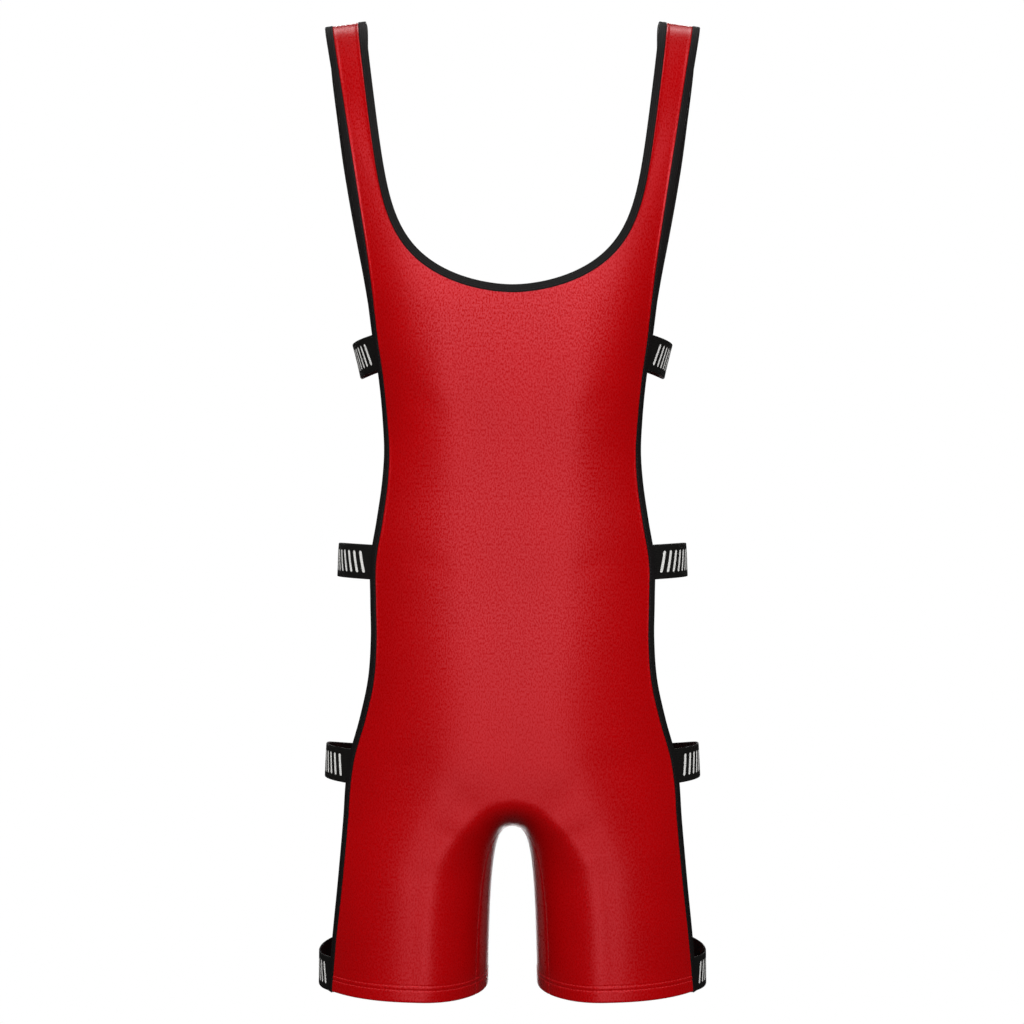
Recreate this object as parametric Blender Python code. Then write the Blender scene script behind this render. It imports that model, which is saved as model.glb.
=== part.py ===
"""Training singlet, filled out as on a wearer and hollow.

A front and a back panel of stretch cloth meet over the shoulders and at a gusset between the legs.
Elastic bands join them across the open sides, and narrow elastic binds the neck and the side edges.
Metres, +Z up, the front faces -Y. The origin is the middle of the shoulder line.
"""

import math
from collections import Counter

import bpy
import numpy as np

MM = 0.001


def columns(text):
    """A table as a dictionary of its named columns."""
    names, *rows = [line.split() for line in text.strip().splitlines()]
    return dict(zip(names, np.array(rows, float).T))


# Cloth
PANEL_WALL = 1.2 * MM
HEM_WALL = 2.2 * MM
HEM_DEPTH = 16 * MM
SEAM_GAP = 0.3 * MM

# Narrow elastic that binds the edges: it stands out a little on both faces of the panel
BINDING_WIDTH = 7 * MM
BINDING_OUT = 0.4 * MM
BINDING_IN = 1.6 * MM

# Wide elastic across the sides: its ends lie behind the binding
BAND_WIDTH = 30 * MM
BAND_WALL = 1.2 * MM
BAND_BEHIND = BINDING_IN + 0.5 * MM
BAND_TUCK = 6 * MM

# Heights: the hem rises a little toward the side edges
HEM_Z = -862 * MM
HEM_LIFT = 4 * MM
CROTCH_Z = -718.7 * MM

# Shoulder: the straps slope down from the neck, over a rounded top
SHOULDER_SLOPE = 0.13
SHOULDER_DROP = 320 * MM

# Neck opening, measured to the free edge of its binding
NECK_HALF = 131 * MM
NECK_TAPER = 0.255
NECK_CORNER = 8
NECK_ROUND = 0.55

# The back of the neck opening is wider below the shoulder, by this share within this share of its depth
NECK_SPREAD = {"front": 0, "back": 0.105}
SPREAD_DEPTH = 0.22

# Arch between the legs: half its width far down, and how fast it opens below the crotch
ARCH_HALF = 24 * MM
ARCH_DROP = 21.8 * MM
ARCH_RISE = 34 * MM

# Gusset: half its depth from front to back at the crotch and along the legs, and how fast it flares
GUSSET_MIDDLE = 30 * MM
GUSSET_LEG = 53 * MM
GUSSET_FLARE = 5 * MM

# Form of the filled garment, in millimetres from the middle. lobe is the middle of each rounded
# side, half_width its outermost point, front and back its depth, power how square the section is.
BODY = columns("""
height  half_width  lobe  front  back  power
     0       215     24    106    100   2.44
  -100       203     28    106    100   2.46
  -200       178     36    107    101   2.40
  -270       151     50    108     99   2.40
  -300     142.5     52    108     97   2.40
  -330       136     50    107     94   2.40
  -375     134.5     42    104     88   2.40
  -420     147.5     38    102     86   2.40
  -460     156.5     37    102     89   2.40
  -500       159     35    102     92   2.32
  -560       163     30    104    104   2.24
  -620       167     26    104    110   2.20
  -660     169.5     34    102    112   2.20
  -700       171     60     98    110   2.18
  -740       173     84     94    105   2.16
  -780     174.5     88     92     99   2.16
  -860     175.5     88     90     93   2.16
""")

# Side edge of each panel, measured to the free edge of its binding, in millimetres
SIDE_EDGE = columns("""
height  front   back
    -5  168.0  168.0
   -41  161.0  166.0
   -79  154.0  162.0
  -116  147.6  157.5
  -151  141.5  152.0
  -187  135.7  145.5
  -221  130.4  139.0
  -256  125.2  133.0
  -290  120.8  128.0
  -325  115.5  122.5
  -360  112.3  118.0
  -390  111.1  116.0
  -411  112.5  117.0
  -446  117.4  121.5
  -481  123.1  127.0
  -515  123.1  128.0
  -549  122.6  128.5
  -584  125.2  131.0
  -618  132.7  138.0
  -653  142.3  146.0
  -671  145.0  149.0
  -705  147.3  152.0
  -758  151.9  157.0
  -811  157.4  162.0
  -860  161.5  166.0
""")

# Bands, in millimetres: height of the middle line at the front panel, how far it sinks at the side,
# and how far it then rises to the back panel. BAND_BEND is how gently the rise begins.
BANDS = columns("""
number  height  sink   rise
     1    -300   5.0   13.0
     2    -483  -1.5   -3.0
     3  -661.5  -0.5  -15.0
     4    -844   1.5    0.0
""")
BAND_BEND = 20 * MM

NECK_DEPTH = {"front": 245 * MM, "back": 238 * MM}
FACING = {"front": -1, "back": 1}

# Facets: strips of cloth between the stations of each edge
NECK_STRIPS = 20
CENTRE_STRIPS = 19
LEG_STRIPS = 12
PANEL_COLUMNS = 9
GUSSET_COLUMNS = 7
BAND_STATIONS = 14
NECK_FOOT_Z = -275 * MM
ARCH_FOOT_Z = -665 * MM
HEM_STEP = 1 * MM

# Points on a curve before it is divided evenly, rounds of halving, and the step that normals use
FINE = 500
HALVINGS = 34
NORMAL_STEP = 0.01 * MM
SHARP = math.radians(40)

CLOTH = ("red stretch knit", (0.42, 0.006, 0.01), 0.5)
BINDING = ("black binding elastic", (0.012, 0.011, 0.011), 0.7)
BAND = ("black woven elastic", (0.015, 0.014, 0.014), 0.75)


def smooth_read(table, name, height):
    """A column of the table at these heights, by a smooth curve through its rows."""
    down = -table["height"] * MM
    value = table[name]
    step = np.diff(down)
    slope = np.diff(value) / step
    tangent = np.concatenate(
        [slope[:1], (slope[:-1] * step[1:] + slope[1:] * step[:-1]) / (step[1:] + step[:-1]), slope[-1:]]
    )
    place = np.clip(-np.asarray(height, float), down[0], down[-1])
    row = np.clip(np.searchsorted(down, place, side="right") - 1, 0, len(step) - 1)
    t = (place - down[row]) / step[row]
    start = (2 * t**3 - 3 * t**2 + 1) * value[row] + (t**3 - 2 * t**2 + t) * step[row] * tangent[row]
    end = (3 * t**2 - 2 * t**3) * value[row + 1] + (t**3 - t**2) * step[row] * tangent[row + 1]
    return start + end


def body(name, height):
    return smooth_read(BODY, name, height) * (1 if name == "power" else MM)


def arch_reach(share, height):
    """Half the width of one of the nested arches at this height: share 0 is the real arch."""
    drop = np.maximum(CROTCH_Z + share * ARCH_RISE - height, 0)
    foot = ARCH_HALF + share * (body("lobe", height) - ARCH_HALF)
    return foot * (1 - np.exp(-np.sqrt(drop / ARCH_DROP)))


def arch_share(x, height):
    """Which of the nested arches passes through the point, found by halving."""
    low = np.full(np.shape(x), -0.3)
    high = np.ones(np.shape(x))
    for _ in range(HALVINGS):
        middle = (low + high) / 2
        outside = arch_reach(middle, height) <= x
        low = np.where(outside, middle, low)
        high = np.where(outside, high, middle)
    return high


def shoulder_top(x):
    return -SHOULDER_SLOPE * (np.abs(x) - NECK_HALF)


def fullness(x, height):
    """1 where the form has its full depth, 0 at its outline seen from the front."""
    x = np.abs(x)
    power = body("power", height)
    lobe = body("lobe", height)
    outward = np.maximum(x - lobe, 0) / (body("half_width", height) - lobe)
    inward = 1 - arch_share(x, height)
    rise = np.maximum(height + SHOULDER_DROP, 0) / (SHOULDER_DROP + shoulder_top(x))
    return (1 - outward**power - np.maximum(inward, 0) ** power) * (1 - rise**power)


def depth(x, height, side):
    return body(side, height) * np.maximum(fullness(x, height), 0) ** (1 / body("power", height))


def on_form(x, height, side):
    x = np.asarray(x, float)
    height = np.asarray(height, float)
    return np.stack([x, FACING[side] * depth(x, height, side), height], -1)


def outward_normal(points):
    """Unit normal of the filled form, from its field's slope along X, Y and Z."""

    def field(p):
        side_depth = np.where(p[..., 1] > 0, body("back", p[..., 2]), body("front", p[..., 2]))
        share = np.abs(p[..., 1]) / side_depth
        return share ** body("power", p[..., 2]) - fullness(p[..., 0], p[..., 2])

    steps = NORMAL_STEP * np.eye(3)
    slope = np.stack([field(points + step) - field(points - step) for step in steps], -1)
    return slope / np.linalg.norm(slope, axis=-1, keepdims=True)


def evenly(points, count):
    """This many points along a dense curve, at equal lengths."""
    length = np.concatenate([[0], np.cumsum(np.linalg.norm(np.diff(points, axis=0), axis=1))])
    wanted = np.linspace(0, length[-1], count)
    return np.stack([np.interp(wanted, length, points[:, k]) for k in range(3)], -1)


def neck_edge(side):
    """Free edge of the neck, from the shoulder to the middle of the scoop, on the +X half."""
    down = (1 - np.cos(np.linspace(0, math.pi, FINE))) / 2
    x = NECK_HALF * (1 - NECK_TAPER * down) * (1 - down**NECK_CORNER) ** NECK_ROUND
    x *= 1 + NECK_SPREAD[side] * (1 - np.exp(-down / SPREAD_DEPTH))
    return evenly(on_form(x, -down * NECK_DEPTH[side], side), NECK_STRIPS + 1)


def side_edge(side, top, foot, strips):
    """Free edge of the panel's side between two heights, on the +X half."""
    height = top + (foot - top) * np.linspace(0, 1, FINE) ** 2
    x = smooth_read(SIDE_EDGE, side, height) * MM
    return evenly(on_form(x, height, side), strips + 1)


def whole_side_edge(side):
    """The side edge's stations, a row for each row of the panel."""
    x_top = SIDE_EDGE[side][0] * MM
    strap = side_edge(side, shoulder_top(x_top), NECK_FOOT_Z, NECK_STRIPS)
    trunk = side_edge(side, NECK_FOOT_Z, ARCH_FOOT_Z, CENTRE_STRIPS)
    leg_height = leg_stations(ARCH_FOOT_Z, HEM_Z + HEM_LIFT, 1)
    leg = on_form(smooth_read(SIDE_EDGE, side, leg_height) * MM, leg_height, side)
    return np.concatenate([strap[:-1], trunk[:-1], leg])


def leg_stations(top, foot, grading):
    """Heights from the top of a leg to its hem, with a step where the hem is turned up."""
    shares = np.linspace(0, 1, LEG_STRIPS + 1) ** grading
    above_hem = foot + HEM_DEPTH + HEM_STEP
    return np.concatenate([top + (above_hem - top) * shares, [foot + HEM_DEPTH, foot]])


def seam_line(share, clearance=0):
    """A line down the inner leg, from the arch's top to the hem, on the +X half.

    share is -1 at the gusset's front seam, 0 at its middle and 1 at its back seam.
    """
    side = "front" if share < 0 else "back"

    def distance(drop):
        flared = GUSSET_LEG + (GUSSET_MIDDLE - GUSSET_LEG) * np.exp(-drop / GUSSET_FLARE)
        return np.abs(share) * flared + clearance

    def nested_arch(height, drop):
        power = body("power", height)
        return 1 - (1 - (distance(drop) / body(side, height)) ** power) ** (1 / power)

    apex = CROTCH_Z
    for _ in range(HALVINGS):
        apex = CROTCH_Z + nested_arch(apex, 0) * ARCH_RISE
    height = leg_stations(apex, HEM_Z, 2)
    drop = apex - height
    x = arch_reach(nested_arch(height, drop), height)
    x[0] = 0
    return np.stack([x, FACING[side] * distance(drop), height], -1)


def across(edge, side, distance, away=1):
    """The edge moved over the cloth, at right angles to itself: +1 is away from the neck opening."""
    tangent = np.gradient(edge, axis=0)
    tangent /= np.linalg.norm(tangent, axis=1, keepdims=True)
    direction = -FACING[side] * away * np.cross(outward_normal(edge), tangent)
    moved = edge + distance * direction
    moved = on_form(moved[:, 0], np.minimum(moved[:, 2], shoulder_top(moved[:, 0])), side)
    moved[edge[:, 0] == 0, 0] = 0
    return moved


def panel_rows(side):
    """Points of half a panel: a row from its inner to its outer edge at each station."""
    inset = BINDING_WIDTH + SEAM_GAP
    neck = across(neck_edge(side), side, inset)
    seam = seam_line(FACING[side], SEAM_GAP)
    share = 1 - (1 - np.linspace(0, 1, CENTRE_STRIPS + 1)) ** 1.5
    centre_height = neck[-1, 2] + share * (seam[0, 2] - neck[-1, 2])
    centre = on_form(np.zeros(centre_height.shape), centre_height, side)
    inner = np.concatenate([neck[:-1], centre[:-1], seam])
    outer = across(whole_side_edge(side), side, inset, away=-1)
    t = np.linspace(0, 1, PANEL_COLUMNS)
    t = 0.4 * t + 0.3 * (1 - np.cos(math.pi * t))
    level = np.concatenate([np.zeros(NECK_STRIPS + CENTRE_STRIPS), np.linspace(0, 1, len(seam))])
    x = inner[:, None, 0] * (1 - t) + outer[:, None, 0] * t
    fall = t ** (1 + level[:, None])
    height = inner[:, None, 2] * (1 - fall) + outer[:, None, 2] * fall
    rows = on_form(x, height, side)
    rows[NECK_STRIPS + CENTRE_STRIPS :, 0] = seam
    rows[0, :, 1] = FACING[side] * SEAM_GAP
    return rows


def hem_wall(rows):
    """Thickness of the cloth inward: doubled over the hem, which the last two rows bound."""
    thickness = np.full(rows.shape[:-1], PANEL_WALL)
    thickness[-2:] = HEM_WALL
    return thickness


def wall(points, outward, inward):
    """A grid's outer and inner faces."""
    normal = outward_normal(points)
    inward = np.broadcast_to(inward, points.shape[:-1])[..., None]
    return points + outward * normal, points - inward * normal


def mirrored(patch):
    """The same patch on the other side of the middle, its columns turned to face out."""
    return tuple((face * [-1, 1, 1])[:, ::-1] for face in patch)


def cloth_solid(name, patches, look):
    """One closed wall from patches of outer and inner points, which share points where they meet."""
    index = {}
    outer = []
    inner = []

    def corner(top, under):
        key = tuple(np.round(top, 7) + 0.0)
        if key not in index:
            index[key] = len(outer)
            outer.append(top)
            inner.append(under)
        return index[key]

    quads = []
    for top, under in patches:
        ids = [[corner(a, b) for a, b in zip(*rows)] for rows in zip(top, under)]
        for first, second in zip(ids, ids[1:]):
            quads += [(first[k], first[k + 1], second[k + 1], second[k]) for k in range(len(first) - 1)]
    count = len(outer)
    uses = Counter((quad[k - 1], quad[k]) for quad in quads for k in range(4))
    rim = [(b, a, a + count, b + count) for a, b in uses if (b, a) not in uses]
    under = [tuple(k + count for k in reversed(quad)) for quad in quads]
    mesh = bpy.data.meshes.new(name)
    mesh.from_pydata([tuple(p) for p in outer + inner], [], quads + under + rim)
    mesh.validate()
    face_out(mesh)
    mesh.shade_smooth()
    mesh.set_sharp_from_angle(angle=SHARP)
    mesh.materials.append(material(*look))
    body_object = bpy.data.objects.new(name, mesh)
    bpy.context.collection.objects.link(body_object)
    return body_object


def face_out(mesh):
    """Turns every face round if the mesh encloses a negative volume."""
    mesh.calc_loop_triangles()
    corners = np.array([[mesh.vertices[v].co for v in tri.vertices] for tri in mesh.loop_triangles])
    if np.linalg.det(corners).sum() < 0:
        mesh.flip_normals()


def material(name, colour, roughness):
    found = bpy.data.materials.get(name)
    if found:
        return found
    made = bpy.data.materials.new(name)
    made.use_nodes = True
    shader = made.node_tree.nodes["Principled BSDF"]
    shader.inputs["Base Color"].default_value = (*colour, 1)
    shader.inputs["Roughness"].default_value = roughness
    shader.inputs["Metallic"].default_value = 0
    made.diffuse_color = (*colour, 1)
    return made


def make_panel(side):
    rows = panel_rows(side)
    patch = wall(rows, 0, hem_wall(rows))
    cloth_solid(f"{side}_panel", [patch, mirrored(patch)], CLOTH)


def make_gusset():
    rows = np.stack([seam_line(share) for share in np.linspace(-1, 1, GUSSET_COLUMNS)], 1)
    patch = wall(rows, 0, hem_wall(rows))
    cloth_solid("crotch_gusset", [patch, mirrored(patch)], CLOTH)


def binding_rows(edges, away):
    """A narrow strip along the front edge up to the shoulder, and down the back one."""
    front, back = [
        np.stack([edge, across(edge, side, BINDING_WIDTH, away)], 1) for side, edge in edges.items()
    ]
    return np.concatenate([front[::-1], back[1:]])


def make_bindings():
    neck = {side: neck_edge(side) for side in FACING}
    patch = wall(binding_rows(neck, 1), BINDING_OUT, BINDING_IN)
    cloth_solid("neck_binding", [patch, mirrored(patch)], BINDING)
    edges = {side: whole_side_edge(side) for side in FACING}
    patch = wall(binding_rows(edges, -1), BINDING_OUT, BINDING_IN)
    cloth_solid("side_binding_right", [patch], BINDING)
    cloth_solid("side_binding_left", [mirrored(patch)], BINDING)


def round_the_side(height, sink, rise, offset):
    """One line of a band, from behind the front binding round to behind the back one."""
    angle = np.linspace(-math.pi / 2, math.pi / 2, FINE)
    backward = np.sin(angle) * body("back", height)
    eased = (backward + np.hypot(backward, BAND_BEND) - BAND_BEND) / 2
    edge_x = smooth_read(SIDE_EDGE, "front", height) * MM
    across_lobe = (edge_x - body("lobe", height)) / (body("half_width", height) - body("lobe", height))
    edge_share = across_lobe ** (body("power", height) / 2)
    z = height + offset - sink * (np.cos(angle) - edge_share) / (1 - edge_share)
    z += rise * eased / body("back", height)
    power = body("power", z)
    lobe = body("lobe", z)
    x = lobe + (body("half_width", z) - lobe) * np.abs(np.cos(angle)) ** (2 / power)
    side_depth = np.where(angle < 0, body("front", z), body("back", z))
    y = np.sign(angle) * side_depth * np.abs(np.sin(angle)) ** (2 / power)
    line = np.stack([x, y, z], -1)
    length = np.concatenate([[0], np.cumsum(np.linalg.norm(np.diff(line, axis=0), axis=1))])
    outermost = np.argmax(x)
    past_front, past_back = (x - smooth_read(SIDE_EDGE, side, z) * MM for side in FACING)
    start = np.interp(0, past_front[:outermost], length[:outermost]) - BAND_TUCK
    end = np.interp(0, -past_back[outermost:], length[outermost:]) + BAND_TUCK
    kept = np.linspace(start, end, BAND_STATIONS)
    return np.stack([np.interp(kept, length, line[:, k]) for k in range(3)], -1)


def make_bands():
    offsets = np.array([0.5, 0, -0.5]) * BAND_WIDTH
    for number, *route in zip(BANDS["number"], *(BANDS[name] * MM for name in ("height", "sink", "rise"))):
        rows = np.stack([round_the_side(*route, offset) for offset in offsets], 1)
        patch = wall(rows, -BAND_BEHIND, BAND_BEHIND + BAND_WALL)
        cloth_solid(f"band_{number:.0f}_right", [patch], BAND)
        cloth_solid(f"band_{number:.0f}_left", [mirrored(patch)], BAND)


def main():
    for old in list(bpy.data.objects):
        bpy.data.objects.remove(old, do_unlink=True)
    for side in FACING:
        make_panel(side)
    make_gusset()
    make_bindings()
    make_bands()


main()
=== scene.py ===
"""Training singlet: cloth, elastic and sewing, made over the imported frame.

A front and a back panel of stretch knit meet over the shoulders and at a gusset between the legs.
Folded elastic binds the neck and the side edges, and woven elastic bands join the open sides.
Metres, +Z up, the front faces -Y. The origin is the middle of the shoulder line.
"""

import math
from collections import Counter

import bpy
import numpy as np
from bpy.props import FloatProperty, FloatVectorProperty, PointerProperty
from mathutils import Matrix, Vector


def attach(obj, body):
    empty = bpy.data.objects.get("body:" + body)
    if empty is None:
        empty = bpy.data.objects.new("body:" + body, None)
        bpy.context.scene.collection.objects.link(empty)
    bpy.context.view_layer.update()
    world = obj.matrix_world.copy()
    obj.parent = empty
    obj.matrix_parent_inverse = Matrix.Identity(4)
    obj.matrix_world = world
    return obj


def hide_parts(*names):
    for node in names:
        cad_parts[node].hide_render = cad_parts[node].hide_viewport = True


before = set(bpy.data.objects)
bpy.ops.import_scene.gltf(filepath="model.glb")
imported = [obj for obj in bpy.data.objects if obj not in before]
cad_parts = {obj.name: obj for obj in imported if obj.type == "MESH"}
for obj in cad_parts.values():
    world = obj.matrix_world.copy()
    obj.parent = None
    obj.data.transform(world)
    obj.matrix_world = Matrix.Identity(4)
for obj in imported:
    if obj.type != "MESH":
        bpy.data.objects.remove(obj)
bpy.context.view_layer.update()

bl_info = {
    "name": "Training Singlet",
    "version": (1, 0, 0),
    "blender": (4, 5, 0),
    "location": "3D View > Sidebar > Singlet",
    "description": "Builds a training singlet of stretch knit with elastic bindings and side bands",
    "category": "Add Mesh",
}

MM = 0.001


def linear(hex_colour):
    """An sRGB hex colour as linear red, green and blue."""
    shares = [int(hex_colour[k : k + 2], 16) / 255 for k in (1, 3, 5)]
    return tuple(c / 12.92 if c <= 0.04045 else ((c + 0.055) / 1.055) ** 2.4 for c in shares)


def columns(text):
    """A table as a dictionary of its named columns."""
    names, *rows = [line.split() for line in text.strip().splitlines()]
    return dict(zip(names, np.array(rows, float).T))


# Heights: the hem rises a little toward the side edges
HEM_Z = -862 * MM
HEM_LIFT = 4 * MM
CROTCH_Z = -718.7 * MM

# Shoulder: the straps slope down from the neck, over a rounded top
SHOULDER_SLOPE = 0.13
SHOULDER_DROP = 320 * MM

# Neck opening, measured to the free edge of its binding
NECK_HALF = 131 * MM
NECK_TAPER = 0.255
NECK_CORNER = 8
NECK_ROUND = 0.55

# The back of the neck opening widens by this share below the shoulder, within this share of its depth
NECK_SPREAD = {"front": 0, "back": 0.105}
SPREAD_DEPTH = 0.22

# Arch between the legs: half its width far down, and how fast it opens below the crotch
ARCH_HALF = 24 * MM
ARCH_DROP = 21.8 * MM
ARCH_RISE = 34 * MM

# Gusset: half its depth from front to back at the crotch and along the legs, and how fast it flares
GUSSET_MIDDLE = 30 * MM
GUSSET_LEG = 53 * MM
GUSSET_FLARE = 5 * MM

# Form of the filled garment, in millimetres from the middle. lobe is the middle of each rounded
# side, half_width its outermost point, front and back its depth, power how square the section is.
BODY = columns("""
height  half_width  lobe  front  back  power
     0       215     24    106    100   2.44
  -100       203     28    106    100   2.46
  -200       178     36    107    101   2.40
  -270       151     50    108     99   2.40
  -300     142.5     52    108     97   2.40
  -330       136     50    107     94   2.40
  -375     134.5     42    104     88   2.40
  -420     147.5     38    102     86   2.40
  -460     156.5     37    102     89   2.40
  -500       159     35    102     92   2.32
  -560       163     30    104    104   2.24
  -620       167     26    104    110   2.20
  -660     169.5     34    102    112   2.20
  -700       171     60     98    110   2.18
  -740       173     84     94    105   2.16
  -780     174.5     88     92     99   2.16
  -860     175.5     88     90     93   2.16
""")

# Free edge of each panel's side, in millimetres from the middle
SIDE_EDGE = columns("""
height  front   back
    -5  168.0  168.0
   -41  161.0  166.0
   -79  154.0  162.0
  -116  147.6  157.5
  -151  141.5  152.0
  -187  135.7  145.5
  -221  130.4  139.0
  -256  125.2  133.0
  -290  120.8  128.0
  -325  115.5  122.5
  -360  112.3  118.0
  -390  111.1  116.0
  -411  112.5  117.0
  -446  117.4  121.5
  -481  123.1  127.0
  -515  123.1  128.0
  -549  122.6  128.5
  -584  125.2  131.0
  -618  132.7  138.0
  -653  142.3  146.0
  -671  145.0  149.0
  -705  147.3  152.0
  -758  151.9  157.0
  -811  157.4  162.0
  -860  161.5  166.0
""")

# Bands, in millimetres: height of the middle line at the front panel, how far it sinks at the side,
# and how far it then rises to the back panel. BAND_BEND is how gently the rise begins.
BANDS = columns("""
number  height  sink   rise
     1    -300   5.0   13.0
     2    -483  -1.5   -3.0
     3  -661.5  -0.5  -15.0
     4    -844   1.5    0.0
""")
BAND_BEND = 20 * MM
BAND_TUCK = 6 * MM

# Lean of the woven bars, the share of a distance along the band that is square to a bar, and how
# far the texture is moved across where the band stays plain
BAR_LEAN = 0.32
UPRIGHT = 0.95
PLAIN = 100 * MM

# How far inside the form's face a band's outer side lies, behind the bindings
BAND_INSET = 1.62 * MM

NECK_DEPTH = {"front": 245 * MM, "back": 238 * MM}
FACING = {"front": -1, "back": 1}

# Length of the worn elastic over its length when cut, and its clearance from the cloth
BINDING_STRETCH = 1.04
ELASTIC_CLEAR = 0.03 * MM

# Rows of the hem's stitches below its top edge, and of the shoulder seam's below the shoulder
HEM_ROWS = (1.2 * MM, 5.2 * MM)
SHOULDER_ROW = 2.5 * MM

# Creases of each panel, in millimetres: from one point to another as seen from the front, the
# half-width of the fold and its height, which is negative for a trough.
CREASES = {
    "front": columns("""
    x0    z0    x1    z1  width  rise
   -95  -330   -42  -352    9.0  -0.7
    97  -336    50  -362   10.0  -0.6
   -92  -352   -30  -380    8.0   0.4
   -10  -715   -58  -655   11.0  -0.6
    12  -715    62  -662   12.0  -0.5
   -22  -728   -84  -700    9.0  -0.4
    22  -728    80  -704    9.0  -0.4
   -36  -740   -92  -728    8.0   0.3
    35  -742    95  -733    8.0   0.3
  -112  -660   -62  -640   10.0  -0.6
   118  -665    60  -648   11.0  -0.5
   -95  -470   -50  -482    9.0  -0.4
    98  -478    48  -492    9.0  -0.5
  -140   -60  -118  -150    8.0  -0.6
   138   -70   112  -160    8.0  -0.5
   -66  -725   -66  -990   18.0   1.8
    65  -730    66  -990   19.0   1.7
    """),
    "back": columns("""
    x0    z0    x1    z1  width  rise
   -96  -370   -30  -398   12.0  -1.3
    98  -364    22  -402   12.0  -1.1
   -84  -392   -18  -420   10.0   0.8
    80  -396    24  -424   10.0   0.7
   -14  -705   -66  -650   13.0  -1.4
    16  -708    60  -648   12.0  -1.2
   -30  -725   -90  -705   10.0  -0.9
    28  -727    88  -700   11.0  -1.0
  -116  -668   -58  -636   10.0  -0.6
   118  -660    66  -640   10.0  -0.7
  -140   -70  -115  -165    8.0  -0.5
   142   -60   112  -170    8.0  -0.5
    """),
}

# Heights where the side edge's stations change over, from strap to trunk and from trunk to leg
NECK_FOOT_Z = -275 * MM
ARCH_FOOT_Z = -665 * MM

# Stations of the fine grids
NECK_STRIPS = 84
CENTRE_STRIPS = 84
LEG_STRIPS = 46
HEM_STRIPS = 30
MIDDLE_COLUMNS = 42
GUSSET_COLUMNS = 41
BAND_STATIONS = 90
BAND_END_STRIPS = 8
FINE = 900
HALVINGS = 30
NORMAL_STEP = 0.01 * MM
SHARP = math.radians(50)
EDGE_COVER = 1.2 * MM

# Distances of a panel's outermost columns from its edge: fine beside the binding, or at the seam
BY_BINDING = np.array([0, 2.4, 4.4, 5.3, 5.8, 6.3, 6.8, 7.4, 8.2, 9.6, 12]) * MM
BY_SEAM = np.array([0, 0.5, 1, 1.5, 2.1, 2.9, 4, 5.5, 7.4, 9.6, 12]) * MM


class SingletCloth(bpy.types.PropertyGroup):
    """Stretch knit of the panels and the gusset."""

    colour: FloatVectorProperty(
        name="Colour",
        description="Colour of the knit",
        subtype="COLOR",
        size=3,
        min=0,
        max=1,
        default=linear("#A00205"),
    )
    thickness: FloatProperty(
        name="Thickness",
        description="Thickness of one layer of the knit",
        default=0.9 * MM,
        min=0.4 * MM,
        max=2 * MM,
        unit="LENGTH",
    )
    hem_depth: FloatProperty(
        name="Hem Depth",
        description="Height of the turned up hem on each leg",
        default=16 * MM,
        min=8 * MM,
        max=30 * MM,
        unit="LENGTH",
    )
    loop: FloatProperty(
        name="Grain",
        description="Size of the knit's visible grain",
        default=1.3 * MM,
        min=0.5 * MM,
        max=5 * MM,
        unit="LENGTH",
    )
    ease: FloatProperty(
        name="Stretch",
        description="Length of the worn cloth over its length when cut",
        default=1.06,
        min=1,
        max=1.4,
    )


class SingletElastic(bpy.types.PropertyGroup):
    """Folded elastic of the edges and woven elastic of the side bands."""

    binding_colour: FloatVectorProperty(
        name="Binding Colour",
        description="Colour of the folded elastic",
        subtype="COLOR",
        size=3,
        min=0,
        max=1,
        default=linear("#0F0D0D"),
    )
    binding_width: FloatProperty(
        name="Binding Width",
        description="Width of the folded elastic on each face of the cloth",
        default=7 * MM,
        min=4 * MM,
        max=15 * MM,
        unit="LENGTH",
    )
    binding_thickness: FloatProperty(
        name="Binding Thickness",
        description="Thickness of the folded elastic",
        default=0.6 * MM,
        min=0.3 * MM,
        max=1 * MM,
        unit="LENGTH",
    )
    band_colour: FloatVectorProperty(
        name="Band Colour",
        description="Ground colour of the woven bands",
        subtype="COLOR",
        size=3,
        min=0,
        max=1,
        default=linear("#100F0E"),
    )
    bar_colour: FloatVectorProperty(
        name="Bar Colour",
        description="Colour of the bars woven into the bands",
        subtype="COLOR",
        size=3,
        min=0,
        max=1,
        default=linear("#E1E0DD"),
    )
    band_width: FloatProperty(
        name="Band Width",
        description="Width of the woven bands",
        default=30 * MM,
        min=20 * MM,
        max=40 * MM,
        unit="LENGTH",
    )
    band_thickness: FloatProperty(
        name="Band Thickness",
        description="Thickness of the woven bands",
        default=1.1 * MM,
        min=0.6 * MM,
        max=2 * MM,
        unit="LENGTH",
    )
    bar_height: FloatProperty(
        name="Bar Height",
        description="Height of each woven bar across the band",
        default=19 * MM,
        min=5 * MM,
        max=28 * MM,
        unit="LENGTH",
    )
    bar_width: FloatProperty(
        name="Bar Width",
        description="Width of each woven bar",
        default=3.2 * MM,
        min=1 * MM,
        max=8 * MM,
        unit="LENGTH",
    )
    plain_end: FloatProperty(
        name="Plain End",
        description="Least length of plain band at each end, where no bar is woven",
        default=12 * MM,
        min=0,
        max=40 * MM,
        unit="LENGTH",
    )
    bar_pitch: FloatProperty(
        name="Bar Pitch",
        description="Distance from one woven bar to the next",
        default=9 * MM,
        min=4 * MM,
        max=40 * MM,
        unit="LENGTH",
    )


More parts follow.
